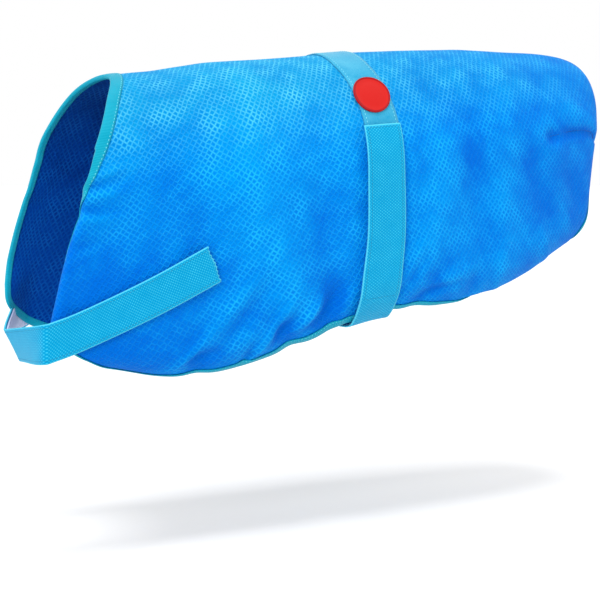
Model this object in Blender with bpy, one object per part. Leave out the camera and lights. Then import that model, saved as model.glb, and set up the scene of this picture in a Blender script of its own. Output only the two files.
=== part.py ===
"""Dog cooling coat: one panel of embossed chamois cloth worn over the back, bound
all round with folded tape, with a loop tape over the back, a belly strap and a
chest strap, each closed by hook tape, and a small round badge.

Frame: the origin is on the inner face of the back, on the spine, under the back
loop tape. -X is the neck, +X the rump, -Y the coat's left side, +Z up.

The panel is drawn flat first. A place on it is (along, across): along runs
from neck to rump, across is the distance from the spine round the body, and
negative across is the right-hand half. bent() carries such a place to space
by a table of sections, so every piece that lies on the panel is made from the
panel's own points, moved out by its seat. Tables and sizes are in millimetres.
"""
import math
from collections import namedtuple

import bmesh
import bpy
from mathutils import Vector

MM = 0.001

# ---- driving sizes, millimetres ---------------------------------------------
WALL = 2.4              # the chamois cloth, two plies
SEAM_GAP = 0.3          # between pieces that lie on each other
BINDING_WIDTH = 10.0    # how far the folded edge tape reaches onto the cloth
BINDING_THICK = 0.7
BAND_WIDTH = 34.0       # loop tape over the back
BAND_THICK = 1.2
STRAP_WIDTH = 36.0      # webbing
STRAP_THICK = 1.4
HOOK_WIDTH = 32.0       # hook tape behind the webbing
HOOK_THICK = 1.0
BADGE_RADIUS = 18.0
BADGE_THICK = 1.4       # at its face; the rim stands higher
BADGE_RIM = 0.7
ARCH_SHAPE = 1.4        # 1 bends the back evenly, more bends it tighter on top

# ---- the form: one row for each section -------------------------------------
# along  place of the section on the flat panel's spine
# x, top where the spine is there
# lean   degrees the section leans: minus puts its lower part nearer the neck
# arch   distance round, from the spine to where the side hangs straight down
# fall   distance round at which the side starts to roll in under the belly
# roll   radius of that roll
Section = namedtuple("Section", "along x top lean arch fall roll")
SECTIONS = (
    Section(-330, -325, -15, -12, 118, 268, 15),
    Section(-240, -238, -11, -12, 136, 268, 15),
    Section(-150, -150, -5, -8, 148, 281, 35),
    Section(-60, -60, -2, -4, 152, 258, 52),
    Section(0, 0, 0, 0, 150, 240, 60),
    Section(100, 100, -1, 0, 146, 238, 55),
    Section(180, 180, -6, -2, 136, 215, 50),
    Section(235, 234, -11, -4, 116, 190, 45),
    Section(262, 262, -20, -5, 98, 172, 42),
    Section(285, 274, -40, -6, 65, 148, 38),
)

# ---- the cut: half of the panel's outline, mirrored over the spine -----------
Place = namedtuple("Place", "along across")
NECK_EDGE = (
    Place(-242, 0), Place(-256, 50), Place(-271, 110), Place(-280, 180),
    Place(-284, 235),
)
HEM_EDGE = (
    Place(-284, 235), Place(-272, 262), Place(-245, 287), Place(-200, 308),
    Place(-160, 315), Place(-100, 313), Place(-30, 288), Place(0, 282),
    Place(100, 283), Place(180, 263), Place(228, 236), Place(248, 209),
)
REAR_EDGE = (
    Place(285, 0), Place(287, 60), Place(283, 120), Place(270, 169),
    Place(248, 209),
)

# ---- the largest folds: plus is a ridge, minus a trough ----------------------
# turn is the fold's direction on the flat panel, in degrees from along to across
Fold = namedtuple("Fold", "along across turn length width height")
FOLDS = (
    Fold(-46, 266, 80, 60, 20, -5.0),       # left, pulled in beside the belly strap
    Fold(-84, 284, 60, 60, 20, -4.0),
    Fold(-155, 300, 75, 50, 18, -3.5),
    Fold(-118, 170, 86, 190, 55, 2.0),      # left, a soft swell down the shoulder
    Fold(44, 262, 115, 60, 22, -3.5),
    Fold(-50, -264, -84, 56, 22, -3.5),     # right, the same in other places
    Fold(-104, -288, -62, 60, 26, -3.5),
    Fold(-170, -296, -80, 46, 18, -3.0),
    Fold(-125, -160, -88, 180, 55, 2.0),
    Fold(50, -266, -112, 54, 22, -3.0),
)

# ---- the rump darts, one on each side ----------------------------------------
DART_TIP = Place(192, 115)
DART_EDGE = Place(285, 92)
DART_WIDTH = 14.0
DART_DEPTH = 2.6
DART_RISE = 3.0         # it is at full depth a third of the way along

# ---- what lies on the panel ---------------------------------------------------
BAND_LINE = (           # middle of the loop tape, from the spine down one side
    Place(-18, 0), Place(-17, 33), Place(-13, 60), Place(-8, 101),
    Place(-6, 150), Place(-5, 200), Place(-8, 240), Place(-10, 268),
)
BELT_TOP = 102.0        # across, where the belly strap's end lies on the left side
BELT_HOOK_END = 256.0   # across, where its hook tape stops
BELT_FAR_END = 236.0    # across, where the strap is sewn on the right side
BELT_OFF_BAND = -1.5    # along, from the loop tape's middle to the strap's
BELT_AT_HEM = 0.53      # part of the hem's length where it leaves the panel
BELT_PAST_HEM = 5.0     # how far past the hem it follows the body's line
BELT_DROP = 42.0        # how strongly the strap carries on down before it turns
CHEST_LINE = (          # middle of the chest strap on one side, end first
    Place(-155, 207), Place(-195, 225), Place(-230, 238), Place(-260, 247),
    Place(-282, 251),
)
CHEST_REACH = 28.0      # how strongly the strap carries on forward before it turns
CHEST_CREASED = 0.25    # 0 rounds the middle of the chest smoothly, 1 folds it sharply
CHEST_FOLD_TOP = (-338.0, -222.0)   # x and z of the crease at the middle of the chest,
CHEST_FOLD_FOOT = (-325.0, -252.0)  # from packing flat: its upper and its lower end
CHEST_SEAT = BINDING_THICK + 2 * SEAM_GAP
BADGE_PLACE = Place(-12, 73)

# ---- how finely the solids are cut -------------------------------------------
ROWS_LONG = 40          # cells from neck to rump
ROWS_HALF = 19          # cells from spine to hem
EVENING = 12            # passes that even out the panel's cells at its round corners
STEP = 7.0              # spacing of stations along tapes and straps
LINES_ACROSS = 4        # lines of points across a tape or strap
ROWS_OVER = 32          # rows that carry a strap from one side to the other
EASE_ROWS = 6           # rows in which the belly strap settles behind its hook tape
BADGE_SIDES = 28
SHARP_ANGLE = 40        # degrees, above which an edge is shaded sharp


# ------------------------------------------------------------------ the form --
def blend(start, end, slope_in, slope_out, part):
    """Cubic between two values with given slopes, part 0 to 1."""
    square, cube = part * part, part * part * part
    return (start * (2 * cube - 3 * square + 1) + slope_in * (cube - 2 * square + part)
            + end * (3 * square - 2 * cube) + slope_out * (cube - square))


def interpolate(rows, keys, at):
    """Smooth curve through rows whose places are keys; straight beyond both ends."""
    last = len(rows) - 1
    span = max(i for i in range(last) if i == 0 or keys[i] <= at)
    width = keys[span + 1] - keys[span]
    part = (at - keys[span]) / width

    def slope(i, column):
        low, high = max(i - 1, 0), min(i + 1, last)
        return (rows[high][column] - rows[low][column]) / (keys[high] - keys[low])

    values = []
    for column in range(len(rows[0])):
        start, end = rows[span][column], rows[span + 1][column]
        if part < 0 or part > 1:
            values.append(start + (end - start) * part)
        else:
            values.append(blend(start, end, slope(span, column) * width,
                                slope(span + 1, column) * width, part))
    return values


def section_at(along):
    keys = [row.along for row in SECTIONS]
    return Section(*interpolate(SECTIONS, keys, along))


def round_body(section, across, rolls):
    """Half width and drop below the spine at a distance round one section."""
    steps = 24
    reach = min(across, section.arch)
    half = drop = 0.0
    for i in range(steps):
        turned = (1 - (i + 0.5) * reach / steps / section.arch) ** ARCH_SHAPE
        angle = math.pi / 2 * (1 - turned)
        half += math.cos(angle) * reach / steps
        drop += math.sin(angle) * reach / steps
    straight = max(min(across, section.fall if rolls else across) - section.arch, 0)
    drop += straight
    if rolls and across > section.fall:
        angle = (across - section.fall) / section.roll
        half -= section.roll * (1 - math.cos(angle))
        drop += section.roll * math.sin(angle)
    return half, drop


def dart_depth(along, across):
    """How far the sewn dart draws the cloth in."""
    part = (along - DART_TIP.along) / (DART_EDGE.along - DART_TIP.along)
    if part <= 0:
        return 0.0
    line = DART_TIP.across + (DART_EDGE.across - DART_TIP.across) * part
    off = abs(abs(across) - line) / (DART_WIDTH / 2)
    if off >= 1:
        return 0.0
    return DART_DEPTH * min(part * DART_RISE, 1) * (1 - off)


def fold_height(along, across):
    """Sum of the soft folds at a place on the flat panel."""
    total = 0.0
    for fold in FOLDS:
        turn = math.radians(fold.turn)
        du, dv = along - fold.along, across - fold.across
        lengthwise = (du * math.cos(turn) + dv * math.sin(turn)) / (fold.length / 2)
        sideways = (dv * math.cos(turn) - du * math.sin(turn)) / (fold.width / 2)
        total += fold.height * math.exp(-lengthwise ** 2 - sideways ** 2)
    return total


def bent(along, across, rolls=True):
    """The place on the worn coat's smooth outer face, without folds."""
    section = section_at(along)
    half, drop = round_body(section, abs(across), rolls)
    lean = math.radians(section.lean)
    side = -1 if across > 0 else 1
    return Vector((section.x + drop * math.sin(lean), side * half,
                   section.top + WALL - drop * math.cos(lean)))


def outward(along, across, rolls=True):
    """Unit normal of the smooth outer face."""
    probe = 1.5
    length = bent(along + probe, across, rolls) - bent(along - probe, across, rolls)
    girth = bent(along, across + probe, rolls) - bent(along, across - probe, rolls)
    return girth.cross(length).normalized()


def on_panel(along, across, lift=0.0, relief=True, rolls=True):
    """Point at a height over the panel's outer face; minus is into the cloth."""
    height = lift
    if relief:
        height += fold_height(along, across) - dart_depth(along, across)
    return bent(along, across, rolls) + outward(along, across, rolls) * height


# ------------------------------------------------------------ the flat outline --
def along_edge(edge, part):
    """Place at part 0 to 1 of an edge's length; square to the spine where it
    starts there."""
    rows = list(edge)
    first = 0
    if edge[0].across == 0:
        rows.insert(0, Place(edge[1].along, -edge[1].across))
        first = 1
    keys = [0.0]
    for before, after in zip(rows, rows[1:]):
        keys.append(keys[-1] + math.dist(before, after))
    at = keys[first] + (keys[-1] - keys[first]) * part
    return Place(*interpolate(rows, keys, at))


def outline_half():
    """Places round the left half's outline: neck edge, hem, then rear edge back
    to the spine."""
    neck = [along_edge(NECK_EDGE, i / ROWS_HALF) for i in range(ROWS_HALF)]
    hem = [along_edge(HEM_EDGE, i / ROWS_LONG) for i in range(ROWS_LONG)]
    rear = [along_edge(REAR_EDGE, 1 - i / ROWS_HALF) for i in range(ROWS_HALF + 1)]
    return neck + hem + rear


def inset_outline(places, distance):
    """The half outline moved in over the flat panel; its two ends stay on the
    spine."""
    inner = []
    last = len(places) - 1
    for i, place in enumerate(places):
        before = places[i - 1] if i else Place(places[1].along, -places[1].across)
        after = places[i + 1] if i < last else Place(places[last - 1].along,
                                                     -places[last - 1].across)
        run, rise = after.along - before.along, after.across - before.across
        size = math.hypot(run, rise)
        inner.append(Place(place.along + rise / size * distance,
                           place.across - run / size * distance))
    return inner


def patch(inner):
    """Grid of flat places inside a half outline, as grid[u][v]: u from neck to
    rump, v from spine to hem."""
    neck = inner[:ROWS_HALF + 1]
    hem = inner[ROWS_HALF:ROWS_HALF + ROWS_LONG + 1]
    rear = inner[ROWS_HALF + ROWS_LONG:][::-1]
    grid = []
    for i in range(ROWS_LONG + 1):
        u = i / ROWS_LONG
        row = []
        for j in range(ROWS_HALF + 1):
            v = j / ROWS_HALF
            spine = Place(neck[0].along + (rear[0].along - neck[0].along) * u, 0)
            place = []
            for k in range(2):
                sides = (1 - u) * neck[j][k] + u * rear[j][k]
                ends = (1 - v) * spine[k] + v * hem[i][k]
                corners = ((1 - u) * (1 - v) * neck[0][k] + u * (1 - v) * rear[0][k]
                           + (1 - u) * v * hem[0][k] + u * v * hem[-1][k])
                place.append(sides + ends - corners)
            row.append(Place(*place))
        grid.append(row)
    for _ in range(EVENING):
        for i in range(1, ROWS_LONG):
            for j in range(1, ROWS_HALF):
                near = (grid[i - 1][j], grid[i + 1][j], grid[i][j - 1], grid[i][j + 1])
                grid[i][j] = Place(sum(place.along for place in near) / 4,
                                   sum(place.across for place in near) / 4)
    return grid


# --------------------------------------------------------------- mesh helpers --
def material(name, color, roughness, sheen=0.0):
    made = bpy.data.materials.new(name)
    made.use_nodes = True
    shader = made.node_tree.nodes["Principled BSDF"]
    shader.inputs["Base Color"].default_value = (*color, 1.0)
    shader.inputs["Roughness"].default_value = roughness
    shader.inputs["Metallic"].default_value = 0.0
    shader.inputs["Sheen Weight"].default_value = sheen
    made.diffuse_color = (*color, 1.0)
    return made


def make_object(name, mesh_builder, surface_material):
    """Turn a bmesh made in millimetres into a named, smooth-shaded object."""
    bmesh.ops.scale(mesh_builder, vec=(MM, MM, MM), verts=mesh_builder.verts)
    bmesh.ops.recalc_face_normals(mesh_builder, faces=mesh_builder.faces)
    mesh = bpy.data.meshes.new(name)
    mesh_builder.to_mesh(mesh)
    mesh_builder.free()
    mesh.shade_smooth()
    mesh.set_sharp_from_angle(angle=math.radians(SHARP_ANGLE))
    mesh.materials.append(surface_material)
    made = bpy.data.objects.new(name, mesh)
    bpy.context.scene.collection.objects.link(made)


def slab(lower, upper):
    """Closed sheet between two grids of points with the same rows and columns."""
    built = bmesh.new()
    rows, columns = len(lower), len(lower[0])
    under = [[built.verts.new(point) for point in row] for row in lower]
    over = [[built.verts.new(point) for point in row] for row in upper]
    for i in range(rows - 1):
        for j in range(columns - 1):
            for face, order in ((under, 1), (over, -1)):
                corners = (face[i][j], face[i + 1][j], face[i + 1][j + 1], face[i][j + 1])
                built.faces.new(corners[::order])
    rim = ([(0, j) for j in range(columns - 1)]
           + [(i, columns - 1) for i in range(rows - 1)]
           + [(rows - 1, j) for j in range(columns - 1, 0, -1)]
           + [(i, 0) for i in range(rows - 1, 0, -1)])
    for (i, j), (p, q) in zip(rim, rim[1:] + rim[:1]):
        built.faces.new((under[i][j], under[p][q], over[p][q], over[i][j]))
    return built


# ----------------------------------------------------------------- the panel --
def mirrored(place):
    return Place(place.along, -place.across)


def whole_outline(places):
    """A half outline carried on over the other half, all the way round."""
    return places + [mirrored(place) for place in places[-2:0:-1]]


def make_body(outline, inner):
    """The one panel: a grid inside the stitching line, and a rim that the edge
    tape folds round."""
    half = patch(inner)
    grid = [[mirrored(place) for place in row[:0:-1]] + row for row in half]
    columns = 2 * ROWS_HALF + 1
    built = bmesh.new()
    faces = {}
    for name, lift in (("outer", 0.0), ("inner", -WALL)):
        faces[name] = [[built.verts.new(on_panel(*place, lift)) for place in row]
                       for row in grid]
        sheet = faces[name]
        for i in range(ROWS_LONG):
            for j in range(columns - 1):
                built.faces.new((sheet[i][j], sheet[i + 1][j],
                                 sheet[i + 1][j + 1], sheet[i][j + 1]))
    middle, last = ROWS_HALF, columns - 1
    border = ([(0, j) for j in range(middle, last)]
              + [(i, last) for i in range(ROWS_LONG)]
              + [(ROWS_LONG, j) for j in range(last, 0, -1)]
              + [(i, 0) for i in range(ROWS_LONG, 0, -1)]
              + [(0, j) for j in range(0, middle)])
    edge = whole_outline(outline)
    rims = {}
    for name, lift in (("outer", 0.0), ("inner", -WALL)):
        rims[name] = [built.verts.new(on_panel(*place, lift)) for place in edge]
    for k in range(len(edge)):
        n = (k + 1) % len(edge)
        for name in ("outer", "inner"):
            (i, j), (p, q) = border[k], border[n]
            sheet, rim = faces[name], rims[name]
            built.faces.new((rim[k], rim[n], sheet[p][q]))
            built.faces.new((rim[k], sheet[p][q], sheet[i][j]))
        built.faces.new((rims["outer"][k], rims["outer"][n], rims["inner"][k]))
        built.faces.new((rims["outer"][n], rims["inner"][n], rims["inner"][k]))
    cloth = material("chamois_cloth", (0.0, 0.18, 0.83), 0.75)
    make_object("coat_body", built, cloth)


# --------------------------------------------------------------- edge binding --
# How far out each corner of the tape's cross-section lies: 0 on the stitching
# line, 1 on the cloth's edge, 2 past it.
RING_REACH = (0, 1, 2, 2, 1, 0, 0, 1, 2, 2, 1, 0)


def binding_ring(edge, inner):
    """Cross-section of the tape folded round the cloth at one station: over the
    outer face, round the cut edge and back along the inner face."""
    near, far = SEAM_GAP, SEAM_GAP + BINDING_THICK
    run_out = Vector((edge.along - inner.along, edge.across - inner.across, 0)).normalized()

    def past(distance, lift):
        return on_panel(edge.along + run_out.x * distance,
                        edge.across + run_out.y * distance, lift)

    def at(place, lift):
        return on_panel(*place, lift)

    return [
        at(inner, far), at(edge, far), past(far, 0.0), past(far, -WALL),
        at(edge, -WALL - far), at(inner, -WALL - far),
        at(inner, -WALL - near), at(edge, -WALL - near), past(near, -WALL - near),
        past(near, near), at(edge, near), at(inner, near),
    ]


def drawn_back(ring, next_ring):
    """A ring moved a seam gap towards its neighbour, on the same facets."""
    part = SEAM_GAP / (next_ring[1] - ring[1]).length
    return [point.lerp(after, part) for point, after in zip(ring, next_ring)]


def make_binding(name, edge, inner, trimmed, tape):
    """Tape through its stations. Each cell is split across the same corners as
    the cloth's rim under it, so the two stay a seam gap apart."""
    rings = [binding_ring(*pair) for pair in zip(edge, inner)]
    if trimmed:
        rings[0] = drawn_back(rings[0], rings[1])
        rings[-1] = drawn_back(rings[-1], rings[-2])
    built = bmesh.new()
    loops = [[built.verts.new(point) for point in ring] for ring in rings]
    count = len(RING_REACH)
    for here, ahead in zip(loops, loops[1:]):
        for i in range(count):
            j = (i + 1) % count
            if RING_REACH[j] > RING_REACH[i]:
                built.faces.new((here[i], here[j], ahead[i]))
                built.faces.new((here[j], ahead[j], ahead[i]))
            else:
                built.faces.new((here[i], here[j], ahead[j]))
                built.faces.new((here[i], ahead[j], ahead[i]))
    half = count // 2
    for loop in (loops[0], loops[-1]):
        for i in range(half - 1):
            built.faces.new((loop[i], loop[i + 1], loop[count - 2 - i], loop[count - 1 - i]))
    make_object(name, built, tape)


def make_bindings(outline, inner):
    tape = material("edge_tape", (0.02, 0.52, 0.62), 0.5)
    edge_loop, inner_loop = whole_outline(outline), whole_outline(inner)
    corner = ROWS_HALF
    far_corner = ROWS_HALF + ROWS_LONG
    total = len(edge_loop)
    runs = (
        ("hem_binding_left", corner, far_corner),
        ("rear_binding", far_corner, total - far_corner),
        ("hem_binding_right", total - far_corner, total - corner),
        ("neck_binding", total - corner, total + corner),
    )
    for name, start, stop in runs:
        pick = [k % total for k in range(start, stop + 1)]
        make_binding(name, [edge_loop[k] for k in pick], [inner_loop[k] for k in pick],
                     name.startswith("hem"), tape)


# ---------------------------------------------------------------- tapes, straps --
def spread(count, width):
    return [(-0.5 + i / (count - 1)) * width for i in range(count)]


def on_line(line, at_across):
    keys = [place.across for place in line]
    return interpolate(line, keys, at_across)[0]


def make_back_band():
    """Loop tape sewn over the back and down both sides, square to the spine."""
    reach = BAND_LINE[-1].across
    count = 2 * round(reach / STEP)
    stations = [-reach + 2 * reach * i / count for i in range(count + 1)]
    sheets = []
    for lift in (SEAM_GAP, SEAM_GAP + BAND_THICK):
        sheets.append([[on_panel(on_line(BAND_LINE, abs(across)) + off, across, lift, False)
                        for off in spread(LINES_ACROSS, BAND_WIDTH)] for across in stations])
    loop_tape = material("loop_tape", (0.16, 0.65, 0.86), 0.35, 0.3)
    make_object("back_band", slab(*sheets), loop_tape)


def other_side(point):
    return Vector((point.x, -point.y, point.z))


def carried_on(row, before, reach, target, arrivals, count):
    """Rows that carry a strap on to a target row, leaving in the direction that
    it already has; the target itself is left out."""
    rows = []
    for i in range(1, count):
        made = []
        for point, back, end, arrive in zip(row, before, target, arrivals):
            leave = (point - back).normalized() * reach
            made.append(Vector([blend(point[k], end[k], leave[k], arrive[k], i / count)
                                for k in range(3)]))
        rows.append(made)
    return rows


def grid_normals(grid, sign):
    """Unit normals of a grid of points, from its neighbours."""
    rows, columns = len(grid), len(grid[0])
    normals = []
    for i in range(rows):
        low, high = max(i - 1, 0), min(i + 1, rows - 1)
        line = []
        for j in range(columns):
            left, right = max(j - 1, 0), min(j + 1, columns - 1)
            run = grid[high][j] - grid[low][j]
            cross = grid[i][right] - grid[i][left]
            line.append(run.cross(cross).normalized() * sign)
        normals.append(line)
    return normals


def layer(grid, normals, heights, thick, margin=0.0):
    """One layer of a strap: from a height over its base grid, with both long
    edges drawn in by a margin."""
    lower, upper = [], []
    for row, facing, height in zip(grid, normals, heights):
        width = (row[-1] - row[0]).length
        trim = margin / width
        line = []
        last = len(row) - 1
        for j in range(len(row)):
            part = (trim + (1 - 2 * trim) * j / last) * last
            k = min(int(part), last - 1)
            line.append((row[k].lerp(row[k + 1], part - k),
                         facing[k].lerp(facing[k + 1], part - k).normalized()))
        lower.append([point + normal * height for point, normal in line])
        upper.append([point + normal * (height + thick) for point, normal in line])
    return slab(lower, upper)


def belt_grid():
    """The belly strap's base: down the left side, under the belly, and up to
    where it is sewn on the right."""
    seat = SEAM_GAP + BAND_THICK + SEAM_GAP
    hem = along_edge(HEM_EDGE, BELT_AT_HEM).across + BELT_PAST_HEM
    band_end = BAND_LINE[-1].across

    def run(start, stop, side):
        count = round(abs(stop - start) / STEP)
        rows = []
        for i in range(count + 1):
            across = start + (stop - start) * i / count
            middle = on_line(BAND_LINE, min(across, band_end)) + BELT_OFF_BAND
            rows.append([on_panel(middle + off, side * across, seat, False)
                         for off in spread(LINES_ACROSS, STRAP_WIDTH)])
        return rows

    left = run(BELT_TOP, hem, 1)
    right = run(hem, BELT_FAR_END, -1)
    over = [other_side(point) for point in left[-1]]
    arrivals = []
    for point, back in zip(left[-1], left[-2]):
        leave = (point - back).normalized() * BELT_DROP
        arrivals.append(Vector((-leave.x, leave.y, -leave.z)))
    under = carried_on(left[-1], left[-2], BELT_DROP, over, arrivals, ROWS_OVER)
    return left, left + under + right


def make_belly_strap(webbing, hook):
    left, grid = belt_grid()
    normals = grid_normals(grid, 1)
    hook_rows = sum(1 for i in range(len(left))
                    if BELT_TOP + i * STEP <= BELT_HOOK_END)
    raised = HOOK_THICK + SEAM_GAP
    heights = []
    for i in range(len(grid)):
        past = (i - hook_rows) / EASE_ROWS
        heights.append(blend(raised, 0, 0, 0, min(max(past, 0), 1)))
    make_object("belly_strap", layer(grid, normals, heights, STRAP_THICK), webbing)
    behind = slice(1, hook_rows)
    rows = grid[behind]
    margin = (STRAP_WIDTH - HOOK_WIDTH) / 2
    tape = layer(rows, normals[behind], [0.0] * len(rows), HOOK_THICK, margin)
    make_object("belly_strap_hook_tape", tape, hook)


def chest_grid():
    """The chest strap's base: forward along the left side, round the chest, and
    back along the right."""
    keys = [0.0]
    for before, after in zip(CHEST_LINE, CHEST_LINE[1:]):
        keys.append(keys[-1] + math.dist(before, after))
    count = round(keys[-1] / STEP)
    left = []
    for i in range(count + 1):
        at = keys[-1] * i / count
        here = Place(*interpolate(CHEST_LINE, keys, at))
        ahead = Place(*interpolate(CHEST_LINE, keys, at + 1))
        run, rise = ahead.along - here.along, ahead.across - here.across
        size = math.hypot(run, rise)
        left.append([on_panel(here.along - rise / size * off, here.across + run / size * off,
                              CHEST_SEAT, False, False)
                     for off in spread(LINES_ACROSS, STRAP_WIDTH)])
    top = Vector((CHEST_FOLD_TOP[0], 0, CHEST_FOLD_TOP[1]))
    foot = Vector((CHEST_FOLD_FOOT[0], 0, CHEST_FOLD_FOOT[1]))
    crease = [foot.lerp(top, part + 0.5) for part in spread(LINES_ACROSS, 1.0)]
    arrivals = []
    for point, end in zip(left[-1], crease):
        straight = end - point
        arrivals.append(Vector((straight.x * CHEST_CREASED, straight.y,
                                straight.z * CHEST_CREASED)))
    left += carried_on(left[-1], left[-2], CHEST_REACH, crease, arrivals, ROWS_OVER // 2)
    right = [[other_side(point) for point in row] for row in left]
    return left + [crease] + right[::-1]


def make_chest_strap(webbing, hook):
    grid = chest_grid()
    normals = grid_normals(grid, -1)
    raised = HOOK_THICK + SEAM_GAP
    make_object("chest_strap", layer(grid, normals, [raised] * len(grid), STRAP_THICK), webbing)
    inside = slice(1, len(grid) - 1)
    rows = grid[inside]
    margin = (STRAP_WIDTH - HOOK_WIDTH) / 2
    tape = layer(rows, normals[inside], [0.0] * len(rows), HOOK_THICK, margin)
    make_object("chest_strap_hook_tape", tape, hook)


# ---------------------------------------------------------------------- badge --
def make_badge():
    """Plain moulded disc with a raised rim, bent to the back it is fixed on."""
    seat = SEAM_GAP + BAND_THICK + SEAM_GAP
    face = seat + BADGE_THICK
    rim = face + BADGE_RIM
    profile = (             # radius and height, from the back's middle to the face's
        (0.5, seat), (1.0, seat), (1.0, face), (0.965, rim), (0.87, rim),
        (0.84, face), (0.45, face),
    )
    built = bmesh.new()
    rings = []
    for part, height in profile:
        ring = []
        for i in range(BADGE_SIDES):
            turn = 2 * math.pi * i / BADGE_SIDES
            reach = part * BADGE_RADIUS
            ring.append(built.verts.new(on_panel(
                BADGE_PLACE.along + reach * math.cos(turn),
                BADGE_PLACE.across + reach * math.sin(turn), height, False)))
        rings.append(ring)
    for before, after in zip(rings, rings[1:]):
        for i in range(BADGE_SIDES):
            j = (i + 1) % BADGE_SIDES
            built.faces.new((before[i], before[j], after[j], after[i]))
    for ring, height in ((rings[0], seat), (rings[-1], face)):
        middle = built.verts.new(on_panel(*BADGE_PLACE, height, False))
        for i in range(BADGE_SIDES):
            built.faces.new((ring[i], ring[(i + 1) % BADGE_SIDES], middle))
    rubber = material("moulded_rubber", (0.78, 0.02, 0.02), 0.45)
    make_object("badge", built, rubber)


def main():
    for old in list(bpy.data.objects):
        bpy.data.objects.remove(old, do_unlink=True)
    outline = outline_half()
    inner = inset_outline(outline, BINDING_WIDTH)
    make_body(outline, inner)
    make_bindings(outline, inner)
    make_back_band()
    webbing = material("webbing", (0.0, 0.42, 0.62), 0.6)
    hook = material("hook_tape", (0.62, 0.66, 0.85), 0.5)
    make_belly_strap(webbing, hook)
    make_chest_strap(webbing, hook)
    make_badge()


main()
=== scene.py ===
import math
from collections import namedtuple

import bmesh
import bpy
import numpy as np
from mathutils import Matrix, Vector


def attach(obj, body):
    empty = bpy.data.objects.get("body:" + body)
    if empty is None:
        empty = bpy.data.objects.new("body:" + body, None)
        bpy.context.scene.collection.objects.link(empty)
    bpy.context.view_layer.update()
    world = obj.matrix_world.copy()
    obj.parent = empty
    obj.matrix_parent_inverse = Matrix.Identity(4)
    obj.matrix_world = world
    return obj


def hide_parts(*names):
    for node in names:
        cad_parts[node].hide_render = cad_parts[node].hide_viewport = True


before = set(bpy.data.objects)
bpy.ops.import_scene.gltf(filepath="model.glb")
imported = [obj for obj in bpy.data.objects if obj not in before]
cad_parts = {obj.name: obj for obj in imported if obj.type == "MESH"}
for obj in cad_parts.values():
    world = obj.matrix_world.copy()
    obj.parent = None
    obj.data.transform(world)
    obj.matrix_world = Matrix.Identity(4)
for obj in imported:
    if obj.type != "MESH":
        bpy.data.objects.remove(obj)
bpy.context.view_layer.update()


# ------------------------------------------------------------ Floor and light --
# A pale studio board of matt paint, far below the coat and sloping a little so
# that the shadow on it is thin. Soft light comes from all round, one lamp throws
# the shadow from overhead, and a broader one, front left, shapes the folds.
MM = 0.001
FLOOR_HEIGHT = -0.438
FLOOR_SLOPE = math.radians(9.3)
FLOOR_TURN = math.radians(-28)
FLOOR_REACH = 40.0
FLOOR_PLACE = (-0.052, 0, FLOOR_HEIGHT)
FLOOR_COLOURS = "#E6E6E6", "#E4E4E4", "#E8E8E8"
CLOUDING = 0.7           # clouds in the paint in each metre
SKY_COLOUR = "#FFFFFF"
SKY_STRENGTH = 1.0
Light = namedtuple("Light", "name strength spread turn")     # spread and turn in degrees
LIGHTS = (Light("overhead_light", 1.2, 15, (3, 0, -28)),
          Light("front_left_light", 1.3, 30, (50, 0, -46)))


def linear(colour):
    """Linear RGBA of an sRGB hex colour."""
    parts = [int(colour[i:i + 2], 16) / 255 for i in (1, 3, 5)]
    return (*[p / 12.92 if p <= 0.04045 else ((p + 0.055) / 1.055) ** 2.4 for p in parts], 1.0)


def node(tree, kind, inputs=None, **settings):
    """One shader node: a setting is its property, an input is a value or a link."""
    made = tree.nodes.new("ShaderNode" + kind)
    for name, value in settings.items():
        setattr(made, name, value)
    for name, value in (inputs or {}).items():
        if isinstance(value, bpy.types.NodeSocket):
            tree.links.new(value, made.inputs[name])
        else:
            made.inputs[name].default_value = value
    return made


def new_material(name, colour, roughness, **sockets):
    """Material with its node tree and its shader, which has these constant values."""
    made = bpy.data.materials.new(name)
    made.use_nodes = True
    shader = made.node_tree.nodes["Principled BSDF"]
    shader.inputs["Base Color"].default_value = linear(colour)
    shader.inputs["Roughness"].default_value = roughness
    shader.inputs["Metallic"].default_value = 0.0
    for socket, value in sockets.items():
        shader.inputs[socket.replace("_", " ")].default_value = value
    return made, made.node_tree, shader


def finished(tree, shader, shade, height=None, strength=0.0, depth=0.0, **settings):
    """Links a mixed colour to a shader, and a fine relief whose depth is in millimetres."""
    tree.links.new(shade.outputs[2], shader.inputs["Base Color"])
    if height:
        bump = node(tree, "Bump", {"Height": height, "Strength": strength,
                                   "Distance": depth * MM}, **settings)
        tree.links.new(bump.outputs["Normal"], shader.inputs["Normal"])


def new_piece(name, built, *materials):
    """Object of a finished bmesh, at the origin, shaded smooth."""
    mesh = bpy.data.meshes.new(name)
    built.to_mesh(mesh)
    built.free()
    mesh.shade_smooth()
    for material in materials:
        mesh.materials.append(material)
    piece = bpy.data.objects.new(name, mesh)
    bpy.context.scene.collection.objects.link(piece)
    return piece


# Painted board: flat, and barely cloudy, so that it stays a quiet ground.
floor_paint, tree, shader = new_material("painted_board", FLOOR_COLOURS[0], 0.9)
cloud = node(tree, "TexNoise", {"Scale": CLOUDING, "Detail": 2.0,
                                "Vector": node(tree, "TexCoord").outputs["Object"]})
shade = node(tree, "Mix", {"Factor": cloud.outputs["Fac"], 6: linear(FLOOR_COLOURS[1]),
                           7: linear(FLOOR_COLOURS[2])}, data_type="RGBA")
finished(tree, shader, shade)

built = bmesh.new()
bmesh.ops.create_grid(built, x_segments=1, y_segments=1, size=FLOOR_REACH)
sloped = Matrix.Rotation(FLOOR_TURN, 4, "Z") @ Matrix.Rotation(-FLOOR_SLOPE, 4, "X")
bmesh.ops.transform(built, matrix=Matrix.Translation(FLOOR_PLACE) @ sloped, verts=built.verts)
floor = new_piece("studio_floor", built, floor_paint)

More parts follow.
